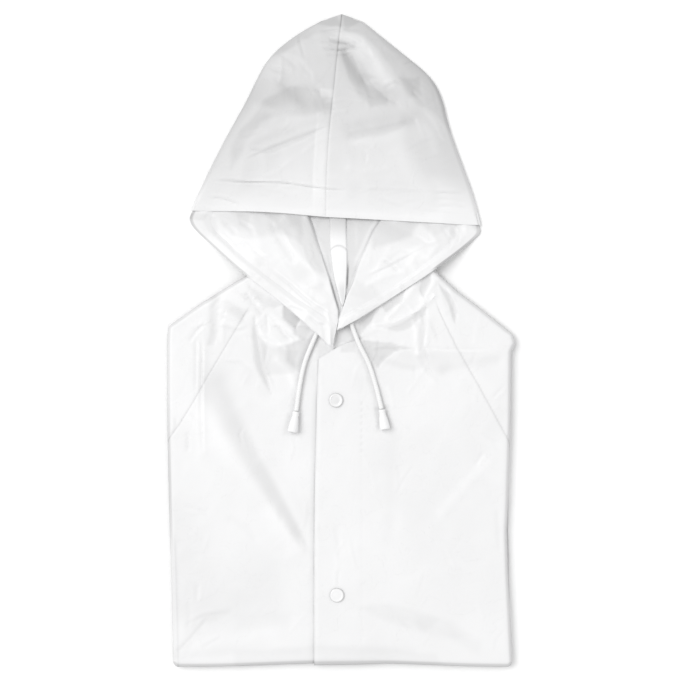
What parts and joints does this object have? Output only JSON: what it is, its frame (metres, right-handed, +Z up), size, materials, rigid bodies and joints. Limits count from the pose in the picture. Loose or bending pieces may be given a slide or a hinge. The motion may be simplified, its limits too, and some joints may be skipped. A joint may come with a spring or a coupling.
{
  "type": "hooded rain jacket, folded flat",
  "caption": "Hooded rain jacket of soft white vinyl, folded flat to show its front, with a closing flap, snaps and a hood drawcord.",
  "frame": {"origin": "centre of the bounding box in plan, at the floor that the folded jacket lies on", "axes": "+Y from the folded waist up to the tip of the hood, +X to the wearer's left, +Z up off the floor through the chest"},
  "size_m": [0.3312, 0.6178, 0.0236],
  "materials": {
    "white_vinyl": "soft translucent vinyl film with a satin gloss",
    "folded_vinyl": "the same vinyl, folded out of sight",
    "seam_tape": "welded vinyl tape",
    "white_cord": "braided cord",
    "white_plastic": "moulded, glossy"
  },
  "bodies": {
    "root": {"folded_layers": "folded_vinyl", "front_right": "white_vinyl", "front_left": "white_vinyl", "sleeve_right": "white_vinyl", "sleeve_left": "white_vinyl", "hood_foot": "white_vinyl", "hood_right": "white_vinyl", "hood_left": "white_vinyl", "casing_right": "white_vinyl", "casing_left": "white_vinyl", "hood_tape": "seam_tape", "drawcord_right": "white_cord", "drawcord_left": "white_cord", "cord_end_right": "white_plastic", "cord_end_left": "white_plastic", "snap_cap_upper": "white_plastic", "snap_cap_lower": "white_plastic"}
  },
  "joints": []
}
